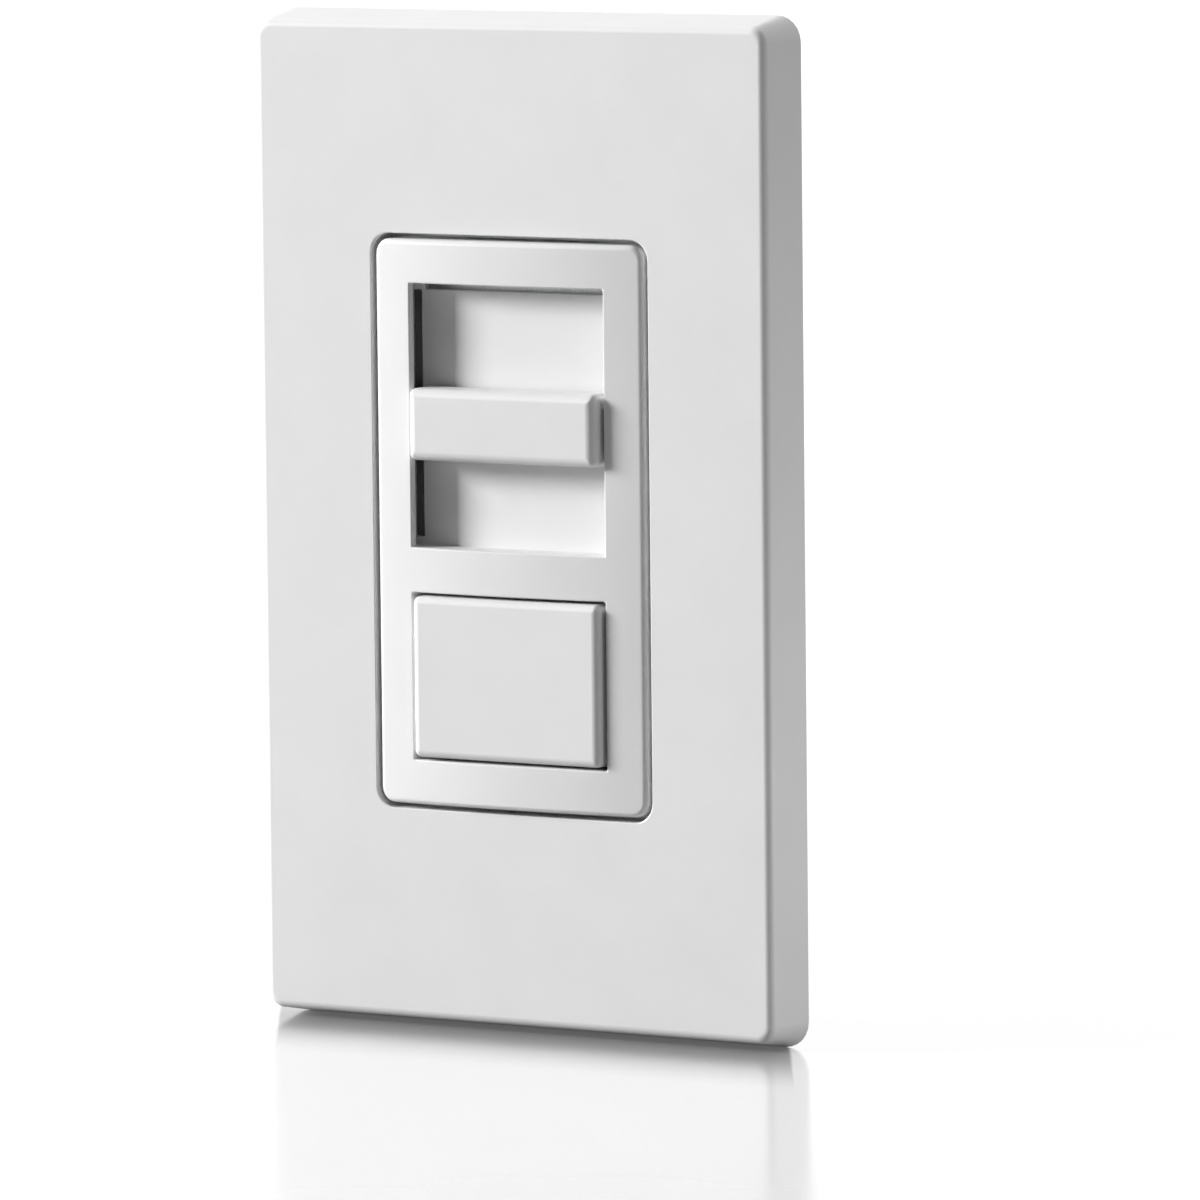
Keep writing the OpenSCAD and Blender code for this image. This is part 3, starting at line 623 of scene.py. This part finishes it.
def driver_slot(width, length, low_y, high_y, centre):
    x, z = centre
    return block((x - length / 2, x + length / 2), (low_y, high_y), (z - width / 2, z + width / 2), 0.05)


def machine_thread(tip, end, radius=SCREW_R, per_turn=10):
    """(radius, depth) pairs along a thread, with a lead-in at the tip."""
    count = round(abs(tip - end) / SCREW_PITCH * per_turn)
    return [(radius, end + (tip - end) * step / count) for step in range(count)] + [(radius * 0.75, tip)]


def adapter_screws():
    low, high = span("adapter_screws")
    head = 2.85
    screws = []
    for side in SIDES:
        place = (0, side * PLATE_SCREW_Z)
        dome = [(head * 0.9, low.y), (head, low.y + 0.12), (SCREW_R, low.y + 1.1)]
        shank = machine_thread(high.y, low.y + 1.3)
        screw = turned(dome + shank, place, thread=(low.y + 1.4, high.y))
        screws.append(cut(screw, driver_slot(0.8, 8, low.y - 1, low.y + 0.6, place)))
    return group(*screws)


def box_screws():
    low, high = span("box_screws")
    head = 3.5
    screws = []
    for side in SIDES:
        place = (0, side * BOX_SCREW_Z)
        dome = ((0.55, 0), (0.8, 0.16), (0.93, 0.42), (1, 0.8))
        profile = [(head * share, low.y + depth) for share, depth in dome]
        profile += [(head, STRAP_FRONT - 0.1), (head - 0.1, STRAP_FRONT), (1.45, STRAP_FRONT), (1.45, 0.05)]
        screw = turned(profile + machine_thread(high.y, 0.06), place, thread=(0.05, high.y))
        screws.append(cut(screw, driver_slot(1, 10, low.y - 1, low.y + 1, place)))
    return group(*screws)


def housing_screws():
    low, high = span("housing_screws")
    screws = []
    for place in CASE_SCREWS:
        shank = [(1.1, low.y), (1.5, low.y + 0.4), (1.5, CASE_STEP)]
        head = [
            (2.7, CASE_STEP), (2.7, CASE_STEP + 1), (2.55, CASE_STEP + 1.4), (2.1, CASE_STEP + 1.75),
            (1.4, high.y),
        ]
        slot = driver_slot(0.8, 8, CASE_STEP + 1, high.y + 1, place)
        screws.append(cut(turned(shank + head, place), slot))
    return group(*screws)


def side_screw(side, z, tip, seat):
    """Terminal screw: thread, then a head outside its seat."""
    head_r, head_t = 3.6, 2.2
    shank = [(radius, depth) for radius, depth in reversed(machine_thread(tip, seat))]
    head = [(SCREW_R, seat), (head_r - 0.15, seat), (head_r, seat + 0.15), (head_r, seat + 1.5)]
    head += [(head_r - 0.25, seat + 1.9), (head_r - 0.7, seat + head_t)]
    screw = turned(shank[:-1] + head, thread=(tip + 0.05, seat - 0.05))
    slot = slab(rectangle((0, 0), (1, 10), 0.05), seat + head_t / 2, seat + head_t + 1, 0.02)
    return along_x(cut(screw, slot), side, z)


def terminal_screws():
    return group(*[side_screw(side, z, 12.8, 19) for side, z in TERMINALS])


def ground_screw():
    return side_screw(-1, GROUND_Z, 17.2, 21.5)


def terminal_plates():
    seat_outline = rectangle((-TERMINAL_Y, 0), (8.4, 9.2), 0.6)
    seat_hole = disc((-TERMINAL_Y, 0), SCREW_HOLE_R)
    inner_x = 12.4
    plates = []
    for side, z in TERMINALS:
        upright = Matrix(((0, side, 0, 0), (-1, 0, 0, 0), (0, 0, 1, z), (0, 0, 0, 1)))
        seat = moved(slab(seat_outline, POCKET_X, POCKET_X + 1, 0.12, 0.12, [seat_hole]), upright)
        arm = block(on_side(side, inner_x, POCKET_X + 0.1), (6.6, 7.6), (z + 3.4, z + 4.6), 0.15)
        tail = block(on_side(side, inner_x, inner_x + 1), (6.62, 10.6), (z + 3.42, z + 4.58), 0.15)
        plates.append(union(seat, arm, tail))
    return group(*plates)


# ---- Materials ----

def surface(name, colour, roughness, metallic=0.0, specular=0.5):
    material = bpy.data.materials.new(name)
    material.use_nodes = True
    shader = material.node_tree.nodes["Principled BSDF"]
    shader.inputs["Base Color"].default_value = (*colour, 1)
    shader.inputs["Roughness"].default_value = roughness
    shader.inputs["Metallic"].default_value = metallic
    shader.inputs["Specular IOR Level"].default_value = specular
    return material


def shader_of(material):
    return material.node_tree.nodes["Principled BSDF"]


def node(material, kind, inputs, **settings):
    """A shader node. Each input is a value or the output of another node."""
    made = material.node_tree.nodes.new(kind)
    for setting, value in settings.items():
        setattr(made, setting, value)
    for socket, value in inputs.items():
        if isinstance(value, bpy.types.NodeSocket):
            material.node_tree.links.new(value, made.inputs[socket])
        else:
            made.inputs[socket].default_value = value
    return made


def connect(material, output, socket):
    material.node_tree.links.new(output, shader_of(material).inputs[socket])


def noise(material, size, detail=2.0, stretch=(1, 1, 1)):
    """Noise whose lumps are about size millimetres across, or longer along a stretched axis."""
    place = node(material, "ShaderNodeTexCoord", {}).outputs["Object"]
    scale = [1 / (size * MM * share) for share in stretch]
    place = node(material, "ShaderNodeMapping", {"Vector": place, "Scale": scale}).outputs["Vector"]
    made = node(material, "ShaderNodeTexNoise", {"Vector": place, "Scale": 1.0, "Detail": detail})
    return made.outputs["Fac"]


def spread(material, value, low, high):
    """The value, from 0.3 to 0.7, spread between low and high."""
    inputs = {"Value": value, "From Min": 0.3, "From Max": 0.7, "To Min": low, "To Max": high}
    return node(material, "ShaderNodeMapRange", inputs).outputs["Result"]


def tint(material, value, dark, light):
    """Base colour between dark and light as the value goes from low to high."""
    factor = spread(material, value, 0.0, 1.0)
    mix = node(material, "ShaderNodeMix", {"Factor": factor}, data_type="RGBA")
    ends = {socket.name: socket for socket in mix.inputs if socket.type == "RGBA"}
    ends["A"].default_value = (*dark, 1)
    ends["B"].default_value = (*light, 1)
    colour = next(socket for socket in mix.outputs if socket.type == "RGBA")
    connect(material, colour, "Base Color")


def relief(material, height, depth):
    """Bumps of the given depth in millimetres."""
    bump = node(material, "ShaderNodeBump", {"Height": height, "Distance": depth * MM, "Strength": 1.0})
    connect(material, bump.outputs["Normal"], "Normal")


def moulded(name, colour, roughness, grain=0.25, depth=0.002, specular=0.5):
    """Moulded plastic: fine grain, and slight changes of shade and gloss over the part."""
    material = surface(name, colour, roughness, specular=specular)
    cloud = noise(material, 9, 2)
    tint(material, cloud, [c * 0.985 for c in colour], [min(1, c * 1.015) for c in colour])
    gloss = spread(material, noise(material, 3, 3), roughness - 0.03, roughness + 0.03)
    connect(material, gloss, "Roughness")
    relief(material, noise(material, grain, 3), depth)
    return material


def cover_plastic():
    return moulded("cover_plastic", (0.80, 0.80, 0.80), 0.42)


def insert_plastic():
    return moulded("insert_plastic", (0.81, 0.81, 0.81), 0.42, grain=0.2, depth=0.0012, specular=0.35)


def adapter_plastic():
    return moulded("adapter_plastic", (0.72, 0.72, 0.69), 0.6, grain=0.35, depth=0.006, specular=0.4)


def dark_plastic():
    return moulded("dark_plastic", (0.035, 0.037, 0.042), 0.5, grain=0.3, depth=0.008, specular=0.45)


def grey_plastic():
    return moulded("grey_plastic", (0.12, 0.12, 0.125), 0.5, grain=0.3, depth=0.005)


def ivory_plastic():
    return moulded("ivory_plastic", (0.68, 0.62, 0.48), 0.45, grain=0.3, depth=0.004)


def drawn_metal(name, dark, light, roughness, along=(1, 1, 1), size=0.15, depth=0.001):
    """Metal with fine marks, stretched along one axis if it was rolled or brushed."""
    material = surface(name, light, roughness, metallic=1.0)
    marks = noise(material, size, 4, along)
    tint(material, marks, dark, light)
    gloss = spread(material, noise(material, 2.5, 3), roughness - 0.06, roughness + 0.08)
    connect(material, gloss, "Roughness")
    relief(material, marks, depth)
    return material


def strap_metal():
    return drawn_metal("strap_metal", (0.60, 0.61, 0.62), (0.72, 0.73, 0.74), 0.38, (1, 1, 40))


def zinc_steel():
    return drawn_metal("zinc_steel", (0.58, 0.60, 0.60), (0.74, 0.75, 0.72), 0.3, size=0.4)


def spring_steel():
    return drawn_metal("spring_steel", (0.38, 0.39, 0.40), (0.52, 0.53, 0.55), 0.28, size=0.2)


def can_steel():
    return drawn_metal("can_steel", (0.55, 0.56, 0.56), (0.70, 0.71, 0.71), 0.33, (1, 1, 25))


def brass():
    return drawn_metal("brass", (0.62, 0.45, 0.17), (0.82, 0.63, 0.28), 0.3, (1, 1, 12), 0.2)


def copper():
    return drawn_metal("copper", (0.68, 0.33, 0.18), (0.86, 0.48, 0.30), 0.32, size=0.3)


def enamelled_wire():
    material = drawn_metal("enamelled_wire", (0.36, 0.10, 0.03), (0.55, 0.19, 0.06), 0.25, size=0.6)
    shader_of(material).inputs["Coat Weight"].default_value = 0.6
    return material


def phenolic():
    return moulded("phenolic", (0.16, 0.07, 0.03), 0.5, grain=0.5, depth=0.003)


def board():
    """Green solder mask over copper tracks, which show as lighter bands."""
    material = surface("board", (0.02, 0.12, 0.05), 0.3)
    place = node(material, "ShaderNodeTexCoord", {}).outputs["Object"]
    upright = node(material, "ShaderNodeMapping", {"Vector": place, "Rotation": (math.pi / 2, 0, 0)})
    inputs = {
        "Vector": upright.outputs["Vector"], "Scale": 1 / (9 * MM),
        "Mortar Size": 0.09, "Row Height": 0.4, "Brick Width": 0.9,
    }
    tracks = node(material, "ShaderNodeTexBrick", inputs).outputs["Fac"]
    tint(material, tracks, (0.012, 0.09, 0.04), (0.04, 0.2, 0.08))
    relief(material, tracks, 0.01)
    return material


def black_epoxy():
    return moulded("black_epoxy", (0.02, 0.02, 0.022), 0.45, grain=0.2, depth=0.004)


def polyimide():
    return moulded("polyimide", (0.55, 0.32, 0.05), 0.2, grain=2, depth=0.004)


def ferrite():
    return moulded("ferrite", (0.035, 0.037, 0.04), 0.55, grain=0.15, depth=0.01)


def capacitor_case():
    return moulded("capacitor_case", (0.66, 0.36, 0.03), 0.3, grain=0.5, depth=0.003)


def resistor_body():
    """Mottled tan lacquer. The colour rings are left out."""
    material = surface("resistor_body", (0.55, 0.36, 0.18), 0.35)
    relief(material, noise(material, 0.5, 3), 0.006)
    tint(material, noise(material, 1.5, 2), (0.5, 0.32, 0.16), (0.6, 0.4, 0.2))
    return material


def diac_body():
    return moulded("diac_body", (0.04, 0.10, 0.22), 0.2, grain=0.4, depth=0.003)


def green_screw():
    return drawn_metal("green_screw", (0.03, 0.2, 0.08), (0.06, 0.32, 0.13), 0.3, size=0.4)


MATERIALS = (
    cover_plastic, insert_plastic, adapter_plastic, dark_plastic, grey_plastic, ivory_plastic,
    strap_metal, zinc_steel, spring_steel, can_steel, brass, copper, enamelled_wire, phenolic, board,
    black_epoxy, polyimide, ferrite, capacitor_case, resistor_body, diac_body, green_screw,
)
PIECES = (
    wall_plate, plate_adapter, adapter_screws, mounting_strap, box_screws, face_frame, recess_plate,
    slider_knob, slider_carriage, button_cap, button_plunger, button_spring, back_housing, housing_screws,
    terminal_plates, terminal_screws, ground_screw,
)


def keep_cad_piece(part, material):
    """A CAD node that is detailed enough: rounded edges, clean shading and its finish."""
    part.data.materials.clear()
    part.data.materials.append(material)
    weld = part.modifiers.new("join split corners", "WELD")
    weld.merge_threshold = 0.002 * MM
    rounding = part.modifiers.new("rounded edges", "BEVEL")
    rounding.width = 0.08 * MM
    rounding.segments = 2
    rounding.limit_method = "ANGLE"
    rounding.angle_limit = CREASE
    rounding.harden_normals = True
    part.modifiers.new("flat faces stay flat", "WEIGHTED_NORMAL").keep_sharp = True


def press_with_button(spring):
    """Gives the spring a mesh of its own."""
    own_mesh(spring)


def build_pieces(slots, materials):
    built = set()
    for make in PIECES:
        name = make.__name__
        piece = publish(make(), name, materials[slots[name]])
        if make is button_spring:
            press_with_button(piece)
        built.add(name)
    for name, part in frame["nodes"].items():
        if name not in built:
            keep_cad_piece(part, materials[slots[name]])


# ---- Floor, lights and camera ----

CAMERA_AZIMUTH = math.radians(32.14)
CAMERA_ELEVATION = math.radians(5.33)
CAMERA_ROLL = math.radians(-0.58)
CAMERA_DISTANCE = 1.16585
CAMERA_LENS = 308.45
AIM_RIGHT = 6.63            # millimetres from the origin to the point in the middle of the view
AIM_UP = -8.93
FLOOR_SIZE = 14             # metres
FLOOR_MIDDLE_Y = 3
FLOOR_COLOUR = (0.22, 0.22, 0.22)
FLOOR_GLOW = 0.47           # how much brighter than lit the floor is seen
# glow in the painted contact shadow right at the object's foot
FLOOR_GLOW_IN_PAINTED_SHADOW = 0.1
PAINTED_SHADOW_REACH = 0.024    # distance in front of the object over which the glow rises out of the painted contact shadow, in metres
PAINTED_SHADOW_SIDEWAYS = 40    # how many times faster the glow rises out of the painted shadow to the left and right
WORLD_SEEN = 1.05           # brightness of the world to camera and mirror rays


def add_floor():
    bm = bmesh.new()
    bmesh.ops.create_grid(bm, x_segments=2, y_segments=2, size=FLOOR_SIZE / 2)
    mesh = bpy.data.meshes.new("floor")
    bm.to_mesh(mesh)
    bm.free()
    floor = bpy.data.objects.new("floor", mesh)
    floor.location = (0, FLOOR_MIDDLE_Y, cad_box[0][2])
    bpy.context.scene.collection.objects.link(floor)
    mesh.materials.append(floor_material())


def seen_by_eye_or_mirror(tree):
    """1 for rays from the camera or a glossy surface, and 0 for those that only carry light."""
    rays = tree.nodes.new("ShaderNodeLightPath")
    seen = tree.nodes.new("ShaderNodeMath")
    seen.operation = "MAXIMUM"
    tree.links.new(rays.outputs["Is Camera Ray"], seen.inputs[0])
    tree.links.new(rays.outputs["Is Glossy Ray"], seen.inputs[1])
    return seen.outputs["Value"]


def sums(material, value, *steps):
    """The value after each (operation, number or node output) step."""
    for operation, number in steps:
        value = node(material, "ShaderNodeMath", {0: value, 1: number}, operation=operation).outputs["Value"]
    return value


def distance_along(material, direction):
    """How far the shaded point is from the origin along a direction in the room, in metres."""
    place = node(material, "ShaderNodeNewGeometry", {}).outputs["Position"]
    product = node(material, "ShaderNodeVectorMath", {0: place, 1: direction}, operation="DOT_PRODUCT")
    return product.outputs["Value"]


def floor_material():
    """Pale and slightly glossy, and seen brighter than it is lit, except in a zone at the object's foot that
    holds a painted contact shadow.

    The zone is fixed in the room. Its slant is set from the photograph's camera, so from other sides it
    shows as a skewed grey patch.
    """
    material = surface("floor", FLOOR_COLOUR, 0.16)
    connect(material, spread(material, noise(material, 40, 2), 0.15, 0.17), "Roughness")
    low, high = span("wall_plate")
    lean = math.tan(CAMERA_AZIMUTH)
    shift = -low.y * lean / 2 * MM
    half = (high.x - PLATE_CORNER - low.y * lean / 2) * MM
    across = sums(
        material, distance_along(material, (1, lean, 0)),
        ("ADD", shift), ("ABSOLUTE", 0), ("SUBTRACT", half), ("MAXIMUM", 0),
        ("MULTIPLY", PAINTED_SHADOW_SIDEWAYS),
    )
    in_front = sums(material, distance_along(material, (0, -1, 0)), ("ADD", low.y * MM), ("MAXIMUM", 0))
    behind = sums(material, distance_along(material, (0, 1, 0)), ("MAXIMUM", 0))
    away = sums(material, across, ("ADD", in_front), ("ADD", behind))
    # The glow is lowest at the foot and rises away from it: a painted contact shadow on the floor.
    inputs = {
        "Value": away, "From Min": 0.0, "From Max": PAINTED_SHADOW_REACH,
        "To Min": FLOOR_GLOW_IN_PAINTED_SHADOW, "To Max": FLOOR_GLOW,
    }
    glow = node(material, "ShaderNodeMapRange", inputs, interpolation_type="SMOOTHSTEP").outputs["Result"]
    strength = sums(material, glow, ("MULTIPLY", seen_by_eye_or_mirror(material.node_tree)))
    shader_of(material).inputs["Emission Color"].default_value = (1, 1, 1, 1)
    connect(material, strength, "Emission Strength")
    return material


def add_light(name, direction, distance, size, power):
    """Soft square lamp that faces the middle of the object. Its distance and size are in metres."""
    light = bpy.data.lights.new(name, "AREA")
    light.shape = "RECTANGLE"
    light.size = size
    light.size_y = size
    light.energy = power
    lamp = bpy.data.objects.new(name, light)
    bpy.context.scene.collection.objects.link(lamp)
    towards = Vector(direction).normalized()
    lamp.location = towards * distance
    lamp.rotation_euler = towards.to_track_quat("Z", "Y").to_euler()


def add_world():
    """White to camera and mirror rays. As light it is dimmer, most of all in front of the object."""
    world = bpy.data.worlds.new("studio")
    bpy.context.scene.world = world
    world.use_nodes = True
    tree = world.node_tree
    background = tree.nodes["Background"]
    background.inputs["Color"].default_value = (1, 1, 1, 1)
    place = tree.nodes.new("ShaderNodeTexCoord")
    split = tree.nodes.new("ShaderNodeSeparateXYZ")
    tree.links.new(place.outputs["Generated"], split.inputs["Vector"])
    fill = tree.nodes.new("ShaderNodeMapRange")
    for socket, value in {"From Min": -0.6, "From Max": 0.7, "To Min": 0.02, "To Max": 0.7}.items():
        fill.inputs[socket].default_value = value
    tree.links.new(split.outputs["Y"], fill.inputs["Value"])
    choice = tree.nodes.new("ShaderNodeMix")
    choice.data_type = "FLOAT"
    choice.inputs["B"].default_value = WORLD_SEEN
    tree.links.new(fill.outputs["Result"], choice.inputs["A"])
    tree.links.new(seen_by_eye_or_mirror(tree), choice.inputs["Factor"])
    tree.links.new(choice.outputs["Result"], background.inputs["Strength"])


def add_camera():
    sin, cos = math.sin, math.cos
    camera = bpy.data.objects.new("camera", bpy.data.cameras.new("camera"))
    bpy.context.scene.collection.objects.link(camera)
    camera.data.lens = CAMERA_LENS
    camera.data.sensor_width = 36
    camera.data.clip_end = 100
    azimuth, elevation = CAMERA_AZIMUTH, CAMERA_ELEVATION
    back = Vector((sin(azimuth) * cos(elevation), -cos(azimuth) * cos(elevation), sin(elevation)))
    right = Vector((cos(azimuth), sin(azimuth), 0))
    aim = (right * AIM_RIGHT + back.cross(right) * AIM_UP) * MM
    camera.location = back * CAMERA_DISTANCE
    back = (camera.location - aim).normalized()
    right = Vector((-back.y, back.x, 0)).normalized()
    up = back.cross(right)
    tilted = cos(CAMERA_ROLL) * right + sin(CAMERA_ROLL) * up
    axes = Matrix((tilted, back.cross(tilted), back)).transposed()
    camera.rotation_euler = axes.to_euler()
    bpy.context.scene.camera = camera


def dress_scene():
    add_floor()
    add_light("key", (-0.81, -0.43, 0.30), distance=3, size=0.9, power=138)
    add_light("overhead", (0.1, 0.3, 1), distance=1.3, size=0.9, power=4)
    add_light("low side", (1, 0.12, -0.4), distance=0.15, size=0.06, power=0.065)
    add_world()
    add_camera()
    bpy.context.scene.view_settings.view_transform = "Standard"


slots = {part["node"]: part["material_slot"] for part in frame["record"]["subparts"]}
materials = {make.__name__: make() for make in MATERIALS}
build_pieces(slots, materials)
dress_scene()
